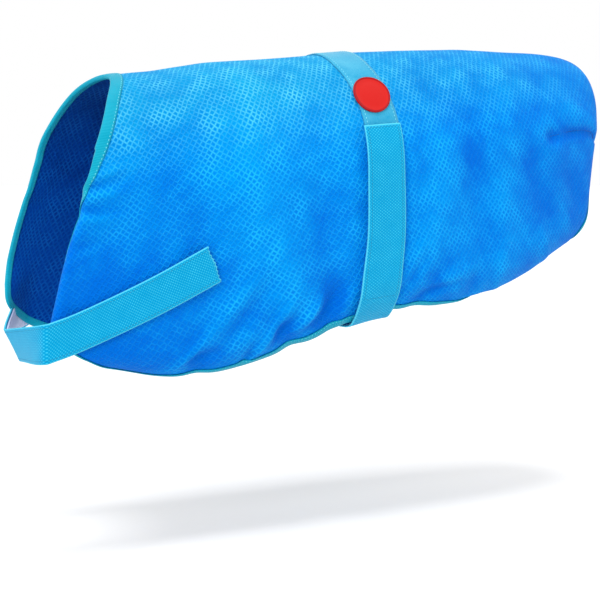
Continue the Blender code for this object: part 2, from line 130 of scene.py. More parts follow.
sky = bpy.data.worlds.new("soft_light")
sky.use_nodes = True
background = sky.node_tree.nodes["Background"]
background.inputs["Color"].default_value = linear(SKY_COLOUR)
background.inputs["Strength"].default_value = SKY_STRENGTH
bpy.context.scene.world = sky

for light in LIGHTS:
    lamp = bpy.data.lights.new(light.name, "SUN")
    lamp.energy = light.strength
    lamp.angle = math.radians(light.spread)
    sun = bpy.data.objects.new(light.name, lamp)
    sun.rotation_euler = [math.radians(angle) for angle in light.turn]
    bpy.context.scene.collection.objects.link(sun)


# --------------------------------------------------------------------- Camera --
# Level with the coat's back, off its left shoulder, with a long lens.
LENS = 84.0
SENSOR = 36.0
PICTURE = 600            # pixels each way
AIM = Vector((-0.052, 0.0, -0.1276))
AIM_ROW = 193            # the pixel row in which the camera's aim lies
DISTANCE = 1.32
AZIMUTH = math.radians(-28)
ELEVATION = math.radians(10)

lens = bpy.data.cameras.new("camera")
lens.lens = LENS
lens.sensor_width = SENSOR
lens.shift_y = (AIM_ROW - PICTURE / 2) / PICTURE
camera = bpy.data.objects.new("camera", lens)
camera.location = AIM + DISTANCE * Vector((math.sin(AZIMUTH) * math.cos(ELEVATION),
                                           -math.cos(AZIMUTH) * math.cos(ELEVATION),
                                           math.sin(ELEVATION)))
camera.rotation_euler = (math.pi / 2 - ELEVATION, 0, AZIMUTH)
bpy.context.scene.collection.objects.link(camera)
bpy.context.scene.camera = camera
bpy.context.scene.view_settings.view_transform = "Standard"


# ------------------------------------------------------------------ The panel --
# One sheet of thick, soft chamois cloth, embossed all over with a small net and
# damp, cut as one half outline mirrored over the spine, with a dart in each rear
# corner. It is drawn flat, and then bent by the same sections as its solid.
WALL = 2.4
ARCH_SHAPE = 1.4         # 1 bends the back evenly, more bends it tighter on top
BOW_STEPS = 24           # in which the bend of the back is added up
# A section's place along the spine, its place in space, its lean in degrees, where
# round it the side hangs straight and starts to roll in, and the radius of that roll.
Section = namedtuple("Section", "along x top lean arch fall roll")
SECTIONS = (
    Section(-330, -325, -15, -12, 118, 268, 15),
    Section(-240, -238, -11, -12, 136, 268, 15),
    Section(-150, -150, -5, -8, 148, 281, 35),
    Section(-60, -60, -2, -4, 152, 258, 52),
    Section(0, 0, 0, 0, 150, 240, 60),
    Section(100, 100, -1, 0, 146, 238, 55),
    Section(180, 180, -6, -2, 136, 215, 50),
    Section(235, 234, -11, -4, 116, 190, 45),
    Section(262, 262, -20, -5, 98, 172, 42),
    Section(285, 274, -40, -6, 65, 148, 38),
)
# Places on the flat cloth are (along, across) in mm, plus across on the coat's left.
NECK_EDGE = ((-242, 0), (-256, 50), (-273, 110), (-284, 145), (-290, 180), (-293, 228))
HEM_EDGE = ((-293, 228), (-291, 240), (-284, 249), (-264, 263), (-245, 278), (-200, 309),
            (-160, 315), (-100, 313), (-30, 288), (0, 282), (60, 284), (110, 287), (150, 282),
            (186, 272), (232, 248), (255, 217))
REAR_EDGE = ((285, 0), (287, 60), (283, 120), (273, 170), (255, 217))
ROWS_LONG = 190          # cells from neck to rump
ROWS_HALF = 98           # cells from spine to hem
EVENING = 80             # passes that even out the cells at the round corners

# The creases, of the left side and then of the right: plus is a ridge, minus a
# trough. turn is the crease's direction from along to across, and bow is how far
# its ends curl sideways, in widths.
Crease = namedtuple("Crease", "along across turn length width height bow")
HEM_WAVES = (                 # deep dents, which pull the hem with them
    Crease(-46, 266, 80, 60, 20, -6.5, 0.0),
    Crease(-86, 284, 60, 60, 18, -5.5, 0.0),
    Crease(-155, 300, 75, 50, 18, -3.5, 0.0),
    Crease(44, 262, 115, 60, 22, -3.5, 0.0),
    Crease(-50, -264, -84, 56, 22, -3.5, 0.0),
    Crease(-104, -288, -62, 60, 26, -3.5, 0.0),
    Crease(-170, -296, -80, 46, 18, -3.0, 0.0),
    Crease(50, -266, -112, 54, 22, -3.0, 0.0),
)
CREASES = (
    Crease(-163, 288, -49, 30, 9, 3.2, 0.2),
    Crease(-152, 292, -10, 24, 10, -3.6, 0.0),
    Crease(-114, 301, -78, 30, 7, -3.2, 0.2),
    Crease(-108, 298, -70, 30, 8, 1.8, 0.0),
    Crease(-95, 276, -68, 44, 10, 3.4, -0.2),
    Crease(-86, 278, -56, 30, 12, -4.2, 0.0),
    Crease(-66, 268, -55, 36, 10, 3.0, 0.2),
    Crease(-59, 276, -37, 24, 10, -3.4, 0.0),
    Crease(-46, 262, -66, 46, 13, -5.0, 0.2),
    Crease(-36, 267, -81, 34, 8, 3.2, 0.0),
    Crease(-123, 262, -56, 80, 16, -2.4, 0.2),
    Crease(-134, 252, -52, 90, 18, 2.0, 0.0),
    Crease(12, 246, -54, 56, 9, 2.8, 0.2),
    Crease(20, 250, -52, 50, 10, -2.2, 0.0),
    Crease(55, 263, -18, 44, 10, -3.0, -0.2),
    Crease(66, 252, -14, 60, 14, 2.0, 0.0),
    Crease(-265, 142, 12, 44, 8, -2.6, 0.2),
    Crease(-263, 150, 10, 44, 9, 1.8, 0.0),
    Crease(-262, 131, 3, 40, 8, 2.4, 0.0),
    Crease(-261, 122, -3, 36, 7, -2.4, 0.2),
    Crease(-259, 113, -8, 44, 8, 1.9, 0.0),
    Crease(-262, 172, -6, 46, 12, -1.8, 0.0),
    Crease(-126, 136, 85, 150, 50, 3.2, 0.0),
    Crease(-258, 236, 40, 44, 11, -2.0, 0.4),
    Crease(96, 262, 100, 48, 16, -2.2, 0.3),
    Crease(130, 252, 84, 60, 18, 1.9, 0.0),
    Crease(196, 226, 58, 52, 15, 1.9, 0.2),
    Crease(-246, 84, 30, 50, 16, 1.4, 0.0),
    Crease(-200, 120, 66, 120, 34, -2.0, 0.3),
    Crease(-164, 208, 80, 110, 30, -2.4, 0.2),
    Crease(-90, 226, 74, 110, 32, 2.6, -0.3),
    Crease(-60, 176, 84, 130, 30, -2.2, 0.0),
    Crease(48, 190, 100, 150, 40, 2.2, 0.3),
    Crease(92, 150, 84, 150, 36, -2.2, 0.0),
    Crease(130, 196, 76, 110, 30, 2.0, 0.2),
    Crease(176, 166, 60, 110, 32, -2.6, 0.0),
    Crease(214, 134, 24, 70, 22, 2.0, 0.0),
    Crease(232, 160, 60, 80, 24, -2.0, 0.2),
    Crease(228, 86, 10, 90, 24, 2.2, 0.0),
    Crease(60, 80, 70, 110, 36, -1.8, 0.0),
    Crease(140, 70, 96, 110, 34, 1.8, 0.2),
    Crease(-130, 70, 100, 110, 34, 1.8, 0.0),
    Crease(-190, 40, 80, 110, 32, -1.8, 0.0),
    Crease(-125, -160, -88, 180, 55, 4.4, 0.0),
    Crease(-44, -270, -86, 40, 9, 3.7, -0.3),
    Crease(-76, -284, -56, 50, 10, 2.7, 0.4),
    Crease(-126, -294, -70, 48, 10, 3.1, -0.3),
    Crease(-158, -298, -64, 50, 9, 2.9, 0.2),
    Crease(-214, -274, -72, 58, 14, -2.0, 0.0),
    Crease(-250, -240, -50, 46, 12, 2.0, 0.3),
    Crease(20, -252, -124, 56, 10, 2.4, 0.0),
    Crease(76, -260, -30, 50, 12, -2.4, 0.3),
    Crease(120, -254, -90, 56, 16, 1.9, 0.0),
    Crease(168, -242, -68, 50, 15, -2.0, 0.2),
    Crease(206, -220, -56, 48, 14, 1.7, 0.0),
    Crease(-264, -158, -10, 42, 12, 2.0, 0.0),
    Crease(-258, -126, -24, 48, 14, -1.7, 0.0),
    Crease(-196, -130, -72, 116, 34, -2.0, 0.0),
    Crease(-80, -200, -80, 120, 34, 2.4, 0.2),
    Crease(54, -180, -98, 140, 38, 2.2, 0.0),
    Crease(100, -140, -80, 140, 36, -2.2, 0.2),
    Crease(184, -160, -62, 100, 30, -2.4, 0.0),
    Crease(222, -90, -14, 90, 24, 2.0, 0.0),
    Crease(130, -60, -86, 110, 34, 1.8, 0.0),
    Crease(-150, -60, -96, 110, 34, 1.8, 0.0),
)
BAND_LINE = ((-18, 0), (-17, 33), (-13, 60), (-8, 101), (-6, 150), (-5, 200), (-8, 240),
             (-10, 268))         # the loop tape's middle
CHEST_LINE = ((-155, 207), (-195, 225), (-230, 238), (-260, 247), (-282, 251))   # its strap's
# Pairs of places: where something starts and where it is whole.
TAPE_KEPT_FLAT = (24.0, 40.0)    # off the loop tape's middle, for the creases
TROUGH_KEPT = 0.6                # share of a trough's depth that stays under the tape
STRAP_KEPT_FLAT = (20.0, 34.0)   # off the chest strap's middle, for the ridges
HEM_KEPT_SMOOTH = (-2.0, 12.0)   # in from the hem, for all but its waves
BELT_OFF_BAND = -1.5             # from the loop tape's middle to the belly strap's
PRESSED = -2.2                   # that strap presses a trough along both its edges
PRESSED_OFF = 20.0               # from its middle
PRESSED_WIDTH = 4.5
PRESSED_FROM = (98, 118)         # across
DART_TIP = (192, 115)
DART_EDGE = (285, 92)
DART_WIDTH = 13.0
DART_DEPTH = 5.0
DART_RISE = 3.0                  # it is at full depth a third of the way along
DIMPLE_PLACE = (194, 115)        # the dent where the dart ends
DIMPLE_SIZE = (10, 7)
DIMPLE_DEPTH = 5.0
CURL_REACH = 17.5                # how much of the lower neck edge curls in on the left
CURL_RADIUS = 5.0
CURL_FROM = (92, 150)            # across
ROLL_REACH = 12.0                # how much of the rear hem rolls under
ROLL_RADIUS = 4.5
ROLL_FROM = (60, 120)            # along
TUCKED = 0.65                    # share of that roll at the left front of the hem
TUCKED_FROM = (205, 245)         # ahead of the origin
TUCKED_TO = (260, 274)           # where it ends, short of the neck's curl
EASED_IN = 11.0                  # how far the neck edge is drawn in on the right
EASED_OVER = (-5, 45)            # back from that edge, where the ease fades out
PUSHED_IN = 18.0                 # how far the chest strap pushes its corner inwards
PUSHED_OUT = 3.5                 # and forwards
PUSHED_FROM = (205, 250)         # across


def interpolate(rows, keys, at):
    """Smooth curve through rows at their keys; straight beyond both ends."""
    rows, keys, at = np.asarray(rows, float), np.asarray(keys, float), np.asarray(at, float)
    slopes = np.empty_like(rows)
    slopes[1:-1] = (rows[2:] - rows[:-2]) / (keys[2:] - keys[:-2])[:, None]
    slopes[0] = (rows[1] - rows[0]) / (keys[1] - keys[0])
    slopes[-1] = (rows[-1] - rows[-2]) / (keys[-1] - keys[-2])
    span = np.clip(np.searchsorted(keys, at, side="right") - 1, 0, len(keys) - 2)
    width = (keys[span + 1] - keys[span])[..., None]
    part = (at - keys[span])[..., None] / width
    start, end = rows[span], rows[span + 1]
    square, cube = part ** 2, part ** 3
    curve = (start * (2 * cube - 3 * square + 1) + end * (3 * square - 2 * cube)
             + width * slopes[span] * (cube - 2 * square + part)
             + width * slopes[span + 1] * (cube - square))
    return np.where((part < 0) | (part > 1), start + (end - start) * part, curve)


def ease(at, start, end):
    """0 before start, 1 after end, and smooth between them."""
    part = np.clip((np.asarray(at, float) - start) / (end - start), 0, 1)
    return part * part * (3 - 2 * part)


def bent(along, across, rolls=True):
    """Places on the worn coat's smooth outer face, in millimetres."""
    along, across = np.broadcast_arrays(np.asarray(along, float), np.asarray(across, float))
    row = interpolate(SECTIONS, [row.along for row in SECTIONS], along)
    section = Section(*np.moveaxis(row, -1, 0))
    reach = np.abs(across)
    bow = np.minimum(reach, section.arch)
    half, drop = 0.0, 0.0
    for i in range(BOW_STEPS):
        turned = (1 - (i + 0.5) * bow / BOW_STEPS / section.arch) ** ARCH_SHAPE
        half = half + np.cos(math.pi / 2 * (1 - turned)) * bow / BOW_STEPS
        drop = drop + np.sin(math.pi / 2 * (1 - turned)) * bow / BOW_STEPS
    fall = section.fall if rolls else reach
    drop = drop + np.maximum(np.minimum(reach, fall) - section.arch, 0)
    angle = np.maximum(reach - fall, 0) / section.roll
    half = half - section.roll * (1 - np.cos(angle))
    drop = drop + section.roll * np.sin(angle)
    lean = np.radians(section.lean)
    side = np.where(across > 0, -1.0, 1.0)
    return np.stack([section.x + drop * np.sin(lean), side * half,
                     section.top + WALL - drop * np.cos(lean)], -1)


def unit(vectors):
    return vectors / np.linalg.norm(vectors, axis=-1, keepdims=True)


def outward(along, across, rolls=True):
    """Unit normals of the smooth outer face."""
    probe = 1.5
    length = bent(along + probe, across, rolls) - bent(along - probe, across, rolls)
    girth = bent(along, across + probe, rolls) - bent(along, across - probe, rolls)
    return unit(np.cross(girth, length))


def hem_at(along):
    """How far across the hem is, at places along."""
    return interpolate(HEM_EDGE, [row[0] for row in HEM_EDGE], along)[..., 1]


def band_at(across):
    """Where along the loop tape's middle is, at a distance from the spine."""
    line = [row[1] for row in BAND_LINE]
    return interpolate(BAND_LINE, line, np.minimum(np.abs(across), line[-1]))[..., 0]


def off_line(line, along, reach):
    """Distance from a line of straight runs."""
    nearest = np.full(np.shape(along), np.inf)
    for start, end in zip(line, line[1:]):
        run = np.subtract(end, start)
        part = np.clip(((along - start[0]) * run[0] + (reach - start[1]) * run[1])
                       / (run @ run), 0, 1)
        nearest = np.minimum(nearest, np.hypot(along - start[0] - run[0] * part,
                                               reach - start[1] - run[1] * part))
    return nearest


def relief(along, across):
    """Height of the creases and darts over the smooth face."""
    reach = np.abs(across)
    kept = ease(hem_at(along) - reach, *HEM_KEPT_SMOOTH)
    total = np.zeros(np.shape(along))
    for crease in HEM_WAVES + CREASES:
        turn = math.radians(crease.turn)
        du, dv = along - crease.along, across - crease.across
        lengthwise = (du * math.cos(turn) + dv * math.sin(turn)) / (crease.length / 2)
        sideways = (dv * math.cos(turn) - du * math.sin(turn)) / (crease.width / 2)
        sideways = sideways + crease.bow * lengthwise ** 2
        rise = crease.height * np.exp(-lengthwise ** 2 - sideways ** 2)
        total += rise if crease in HEM_WAVES else rise * kept
    band = band_at(across)
    pressed = (np.abs(along - band - BELT_OFF_BAND) - PRESSED_OFF) / PRESSED_WIDTH
    total += (PRESSED * np.exp(-pressed ** 2) * ease(reach, *PRESSED_FROM))
    loose = ease(np.abs(along - band), *TAPE_KEPT_FLAT)
    free = loose * ease(off_line(CHEST_LINE, along, reach), *STRAP_KEPT_FLAT)
    total *= np.where(total > 0, free, TROUGH_KEPT + (1 - TROUGH_KEPT) * loose)
    part = (along - DART_TIP[0]) / (DART_EDGE[0] - DART_TIP[0])
    off = np.abs(reach - DART_TIP[1] - (DART_EDGE[1] - DART_TIP[1]) * part) / (DART_WIDTH / 2)
    total -= DART_DEPTH * np.clip(part * DART_RISE, 0, 1) * np.clip(1 - off, 0, 1)
    round_tip = np.hypot((along - DIMPLE_PLACE[0]) / DIMPLE_SIZE[0],
                         (reach - DIMPLE_PLACE[1]) / DIMPLE_SIZE[1])
    return total - DIMPLE_DEPTH * np.exp(-round_tip ** 2)


def rolled_edge(place, start, radius, share, lift):
    """Places past a start, and heights, once the cloth there has rolled up. The share
    of the roll's reach acts on its bend too, less strongly."""
    angle = np.maximum(place - start, 0) / radius * share ** 0.5
    return (np.where(angle > 0, start + (radius + lift) * np.sin(angle), place),
            np.where(angle > 0, (radius + lift) * np.cos(angle) - radius, lift))


def curled(along, across, lift):
    """Places and heights once the lower neck edge has curled in on the left and is
    drawn and pushed in on the right, and the hem has rolled under."""
    edge = interpolate(NECK_EDGE, [row[1] for row in NECK_EDGE], np.abs(across))[..., 0]
    share = ease(across, *CURL_FROM)
    ahead, height = rolled_edge(-along, -edge - CURL_REACH * share, CURL_RADIUS, share, lift)
    fore = 1 - ease(along - edge, *EASED_OVER)
    pushed = ease(-across, *PUSHED_FROM)
    drawn = (EASED_IN * ease(-across, *CURL_FROM) - PUSHED_OUT * pushed) * fore
    height = height - PUSHED_IN * pushed * fore
    tucked = TUCKED * ease(-along, *TUCKED_FROM) * (1 - ease(-along, *TUCKED_TO))
    share = ease(along, *ROLL_FROM) + tucked * (across > 0)
    reach, height = rolled_edge(np.abs(across), hem_at(along) - ROLL_REACH * share,
                                ROLL_RADIUS, share, height)
    return drawn - ahead, np.sign(across) * reach, height


def on_panel(along, across, lift=0.0, creased=True, rolls=True):
    """Points at a height over the panel's outer face, in millimetres."""
    along, across, lift = np.broadcast_arrays(np.asarray(along, float),
                                              np.asarray(across, float), np.asarray(lift, float))
    height = lift
    if creased:
        ridge = relief(along, across)
        along, across, height = curled(along, across, lift)
        height = height + ridge
    return bent(along, across, rolls) + outward(along, across, rolls) * height[..., None]


def along_edge(edge, parts):
    """Flat places at parts 0 to 1 of an edge; square to the spine where it starts there."""
    rows, first = list(edge), 0
    if edge[0][1] == 0:
        rows.insert(0, (edge[1][0], -edge[1][1]))
        first = 1
    keys = np.concatenate([[0], np.cumsum([math.dist(*pair) for pair in zip(rows, rows[1:])])])
    return interpolate(rows, keys, keys[first] + (keys[-1] - keys[first]) * np.asarray(parts))


def laid(name, points, flat, thick, *materials, closed=False, folds=None):
    """Cloth as a grid of points in millimetres, with its flat places as its UV map, and the
    heights of its folds as a second one where they are given, which the material turns into
    painted light and shade.
    The points are on its outer face, whose normals go out where rows turn to
    columns by the right-hand rule, and Solidify gives its thickness inwards."""
    rows, columns = points.shape[0] - 1, points.shape[1] - 1
    built = bmesh.new()
    bmesh.ops.create_grid(built, x_segments=rows, y_segments=columns, size=0.5)
    cut = built.loops.layers.uv.new("cut")
    fold = None if folds is None else built.loops.layers.uv.new("fold")
    spots = {}
    for vert in built.verts:
        spots[vert] = (round((vert.co.x + 0.5) * rows), round((vert.co.y + 0.5) * columns))
    for face in built.faces:
        for corner in face.loops:
            corner[cut].uv = flat[spots[corner.vert]] * MM
            if fold:
                corner[fold].uv = (folds[spots[corner.vert]], 0.0)
    for vert, spot in spots.items():
        vert.co = points[spot] * MM
    if closed:
        bmesh.ops.remove_doubles(built, verts=built.verts, dist=0.00002)
    piece = new_piece(name, built, *materials)
    wall = piece.modifiers.new("wall", "SOLIDIFY")
    wall.thickness = thick * MM
    wall.offset = -1.0
    wall.material_offset = len(materials) - 1
    return piece


# Chamois cloth, of two plies of soft, matt fibre with the net pressed in hot:
# painted shade darkens the pressed dimples and a painted highlight pales the lines
# between them, more in some patches than in others, and damp makes it cloudy.
# Painted shade also darkens it low down, at the front, at the rear and in the
# troughs of its folds, and painted light pales it on top and on the folds' ridges.
NET = ((4.4, 28.0), (3.8, -53.0))    # mm between its lines, and degrees that they face
NET_WAVER = 0.0018                   # metres that the lines waver
NET_UNEVEN = 0.28
FOLD_SHADE = 0.06                     # how much paler, as painted light, each mm of a ridge's height makes it; troughs get painted shade the same way
WAVERING, CRISPNESS, CLOUDS, NAP = 60.0, 50.0, 26.0, 700.0       # of each in a metre
# Where the painted highlight on top lies, and where the painted shade lies low down, at the rear
# and at the front.
NEAR_TOP = 0.135, 0.045              # metres off the spine, where it starts and is whole
LOW_DOWN = 0.1, 0.26
REARWARD = -0.03, 0.26               # metres along
FORWARD = -0.15, -0.26


def chamois(name, colours, low_shade, depth):
    """Embossed chamois. Its colours are its darker and its paler ground, its raised lines and its
    dimples, low down and then on top, where the second set is a painted highlight of the light
    from above. The low shade is how much painted shade darkens it low down, at the front and at
    the rear, and below zero how much painted light pales it there. Random clouds of soaking make
    it patchy, and the heights of its folds put painted shade in their troughs and painted light on
    their ridges."""
    low_colours, lit_top_colours = [[linear(colour) for colour in row] for row in colours]
    tint = linear("#0A9CF0")
    cloth, tree, shader = new_material(name, colours[0][0], 0.8, Sheen_Weight=0.1,
                                       Sheen_Roughness=0.6, Sheen_Tint=tint,
                                       Specular_Tint=tint, Specular_IOR_Level=0.3)
    flat = node(tree, "UVMap", uv_map="cut").outputs["UV"]
    wavy = node(tree, "TexNoise", {"Vector": flat, "Scale": WAVERING, "Detail": 1.0})
    bent_net = node(tree, "VectorMath", {0: wavy.outputs["Color"], 1: (NET_WAVER,) * 3, 2: flat},
                    operation="MULTIPLY_ADD")
    counts = []
    for pitch, turn in NET:
        way = Vector((math.cos(math.radians(turn)), math.sin(math.radians(turn)), 0))
        counts.append(node(tree, "VectorMath", {0: bent_net.outputs["Vector"],
                                                1: way / (pitch * MM)},
                           operation="DOT_PRODUCT").outputs["Value"])
    net = node(tree, "CombineXYZ", {"X": counts[0], "Y": counts[1]})
    cells = node(tree, "TexVoronoi", {"Vector": net.outputs["Vector"], "Scale": 1.0,
                                      "Randomness": NET_UNEVEN}, voronoi_dimensions="2D",
                 feature="DISTANCE_TO_EDGE")
    raised = node(tree, "MapRange", {"Value": cells.outputs["Distance"], "From Min": 0.02,
                                     "From Max": 0.26, "To Min": 1.0, "To Max": 0.0},
                  interpolation_type="SMOOTHSTEP")
    hollow = node(tree, "MapRange", {"Value": cells.outputs["Distance"], "From Min": 0.15,
                                     "From Max": 0.42, "To Max": 0.7})
    patches = node(tree, "TexNoise", {"Vector": flat, "Scale": CRISPNESS, "Detail": 4.0,
                                      "Roughness": 0.65})
    crisp = node(tree, "MapRange", {"Value": patches.outputs["Fac"], "From Min": 0.4,
                                    "From Max": 0.66, "To Min": 0.25, "To Max": 1.0})
    clouds = node(tree, "TexNoise", {"Vector": flat, "Scale": CLOUDS, "Detail": 6.0,
                                     "Roughness": 0.68})
    spots = node(tree, "SeparateXYZ", {"Vector": flat})
    low = node(tree, "Math", {0: spots.outputs["Y"]}, operation="ABSOLUTE").outputs["Value"]
    on_top = node(tree, "MapRange", {"Value": low, "From Min": NEAR_TOP[0],
                                     "From Max": NEAR_TOP[1]}, interpolation_type="SMOOTHSTEP")
    lower = node(tree, "MapRange", {"Value": low, "From Min": LOW_DOWN[0],
                                    "From Max": LOW_DOWN[1]})
    rearmost = node(tree, "MapRange", {"Value": spots.outputs["X"], "From Min": REARWARD[0],
                                       "From Max": REARWARD[1], "To Max": 1.9})
    foremost = node(tree, "MapRange", {"Value": spots.outputs["X"], "From Min": FORWARD[0],
                                       "From Max": FORWARD[1], "To Max": 2.6})
    # Painted highlight: the paler top palette near the spine stands for the light from above, a
    # little less towards the rear.
    top_highlight = node(tree, "Math", {0: rearmost.outputs["Result"], 1: -0.3,
                                 2: on_top.outputs["Result"]}, operation="MULTIPLY_ADD",
                  use_clamp=True)
    # Painted shade low down, at the front and at the rear, where the light from above leaves the
    # cloth darker; the clouds are damp patches of the cloth itself.
    front_low = node(tree, "Math", {0: foremost.outputs["Result"], 1: lower.outputs["Result"],
                                    2: lower.outputs["Result"]}, operation="MULTIPLY_ADD")
    shade_low_and_ends = node(tree, "Math", {0: front_low.outputs["Value"], 1: rearmost.outputs["Result"]},
               operation="MAXIMUM")
    damp_and_shade = node(tree, "Math", {0: shade_low_and_ends.outputs["Value"], 1: -low_shade, 2: clouds.outputs["Fac"]},
                  operation="MULTIPLY_ADD")
    folds = node(tree, "SeparateXYZ", {"Vector": node(tree, "UVMap", uv_map="fold").outputs["UV"]})
    # Painted light and shade of the folds: their heights pale the ridges and darken the troughs.
    damp_and_fold_shade = node(tree, "Math", {0: folds.outputs["X"], 1: FOLD_SHADE,
                                   2: damp_and_shade.outputs["Value"]}, operation="MULTIPLY_ADD")
    dry_and_lit = node(tree, "MapRange", {"Value": damp_and_fold_shade.outputs["Value"], "From Min": 0.1,
                                      "From Max": 0.7})
    pattern_contrast = node(tree, "Math", {0: dry_and_lit.outputs["Result"], 1: 0.8, 2: 0.2},
                operation="MULTIPLY_ADD")
    seen = node(tree, "Math", {0: crisp.outputs["Result"], 1: pattern_contrast.outputs["Value"]},
                operation="MULTIPLY")
    # Painted shade darkens the pressed dimples and a painted highlight pales the raised lines,
    # standing in for the light on the fine net.
    shades = []
    for damp_shaded_ground, dry_lit_ground, line, dimple in (low_colours, lit_top_colours):
        ground = node(tree, "Mix", {"Factor": dry_and_lit.outputs["Result"], 6: damp_shaded_ground, 7: dry_lit_ground},
                      data_type="RGBA")
        pits = node(tree, "Math", {0: hollow.outputs["Result"], 1: crisp.outputs["Result"]},
                    operation="MULTIPLY")
        pitted = node(tree, "Mix", {"Factor": pits.outputs["Value"], 6: ground.outputs[2],
                                    7: dimple}, data_type="RGBA")
        lines = node(tree, "Math", {0: raised.outputs["Result"], 1: seen.outputs["Value"]},
                     operation="MULTIPLY")
        shades.append(node(tree, "Mix", {"Factor": lines.outputs["Value"],
                                         6: pitted.outputs[2], 7: line}, data_type="RGBA"))
    shade = node(tree, "Mix", {"Factor": top_highlight.outputs["Value"], 6: shades[0].outputs[2],
                               7: shades[1].outputs[2]}, data_type="RGBA")
    nap = node(tree, "TexNoise", {"Vector": flat, "Scale": NAP, "Detail": 2.0})
    height = node(tree, "Math", {0: nap.outputs["Fac"], 1: 0.3, 2: raised.outputs["Result"]},
                  operation="MULTIPLY_ADD")
    finished(tree, shader, shade, height.outputs["Value"], 0.7, depth)
    return cloth


# Each palette lists the darker ground, the paler ground, the lines and the dimples; the second
# palette is the painted highlight on top.
outer_cloth = chamois("embossed_chamois", (("#0060C8", "#0090E0", "#1CB0F2", "#006CCA"),
                                           ("#0072BC", "#0696C6", "#5CC2E2", "#006AAE")),
                      0.18, 0.6)
# The underside's dark blues are painted shade inside the coat, where little light reaches.
shaded_inner_cloth = chamois("chamois_underside_shaded", (("#001662", "#003A96", "#0C58AE", "#001C6A"),
                                            ("#001C62", "#003C92", "#1858A4", "#002474")),
                      -0.2, 0.4)

part = np.linspace(0, 1, ROWS_LONG + 1)[:, None, None]
side = np.linspace(0, 1, ROWS_HALF + 1)[None, :, None]
neck = along_edge(NECK_EDGE, side[0, :, 0])
hem = along_edge(HEM_EDGE, part[:, 0, 0])
rear = along_edge(REAR_EDGE, side[0, :, 0])
spine = neck[0] + (rear[0] - neck[0]) * part
half = ((1 - part) * neck[None] + part * rear[None] + (1 - side) * spine + side * hem[:, None]
        - (1 - part) * (1 - side) * neck[0] - part * (1 - side) * rear[0]
        - (1 - part) * side * hem[0] - part * side * hem[-1])
for _ in range(EVENING):
    half[1:-1, 1:-1] = (half[:-2, 1:-1] + half[2:, 1:-1] + half[1:-1, :-2]
                        + half[1:-1, 2:]) / 4
flat_panel = np.concatenate([half[:, ::-1], half[:, 1:] * (1, -1)], 1)
shell = laid("chamois_panel", on_panel(flat_panel[..., 0], flat_panel[..., 1]), flat_panel,
             WALL, outer_cloth, shaded_inner_cloth, folds=relief(flat_panel[..., 0], flat_panel[..., 1]))


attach(shell, "root")
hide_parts("coat_body")

# ------------------------------------------------------------------- Edge tape --
# One woven polyester tape, folded round the cut edge of the panel all the way
# and sewn through with a row of lockstitch. Where the edge turns under, low on
# the neck and along most of the hem, more of it lies inside.
SEAM_GAP = 0.3
TAPE_THICK = 0.7
TAPE_INSIDE = 4.5
TAPE_ROUND = 1.7         # how far its fold stands out past the cut edge
TAPE_CROWN = 0.35        # it is a little full between the stitches and the fold
TAPE_STEP = 3.0
NECK_SHOWN = ((0, 10.0), (90, 9.5), (130, 6.5), (200, 5.0), (228, 4.0))        # by across
HEM_SHOWN = ((-293, 3.0), (-200, 3.5), (-150, 5.0), (-115, 8.5), (-20, 8.5), (20, 5.0),
             (110, 4.5), (248, 5.0))                                            # by along
REAR_SHOWN = ((0, 6.0), (120, 5.5), (209, 5.0))                                 # by across
TAPE_RIB = 1.3           # mm, woven at 0.6 and drawn coarse enough to show
STITCH_PITCH = 3.4
STITCH_LONG = 2.5
STITCH_THICK = 0.55
STITCH_INSET = 1.5       # from the tape's edge
STITCH_OUT = 0.1         # how far its middle stands out of the tape
ROUND_STEPS = 6          # cells of its inside, of its fold and of its outside


def woven_tape(name, colour, light, rib):
    """Smooth woven tape: even crosswise ribs with a soft, silky shine."""
    tape, tree, shader = new_material(name, colour, 0.5, Sheen_Weight=0.1,
                                      Sheen_Tint=linear(light), Specular_Tint=linear(light),
                                      Specular_IOR_Level=0.4)
    flat = node(tree, "UVMap", uv_map="cut").outputs["UV"]
    ribs = node(tree, "TexWave", {"Vector": flat, "Scale": 2 * math.pi / (20 * rib * MM),
                                  "Distortion": 0.4, "Detail": 1.0, "Detail Scale": 2.0})
    pattern_contrast = node(tree, "TexNoise", {"Vector": flat, "Scale": 90.0, "Detail": 3.0})
    tint = node(tree, "Math", {0: ribs.outputs["Fac"], 1: pattern_contrast.outputs["Fac"]},
                operation="MULTIPLY")
    shade = node(tree, "Mix", {"Factor": tint.outputs["Value"], 6: linear(colour),
                               7: linear(light)}, data_type="RGBA")
    finished(tree, shader, shade, ribs.outputs["Fac"], 0.6, 0.25)
    return tape


def shown(places, table):
    """Width of tape outside at each place of an edge, by the column that its table reads."""
    keys, widths = zip(*table)
    return np.interp(places, keys, widths)


def path_length(points):
    steps = np.linalg.norm(np.diff(points, axis=0), axis=-1)
    return np.concatenate([[0.0], np.cumsum(steps)])


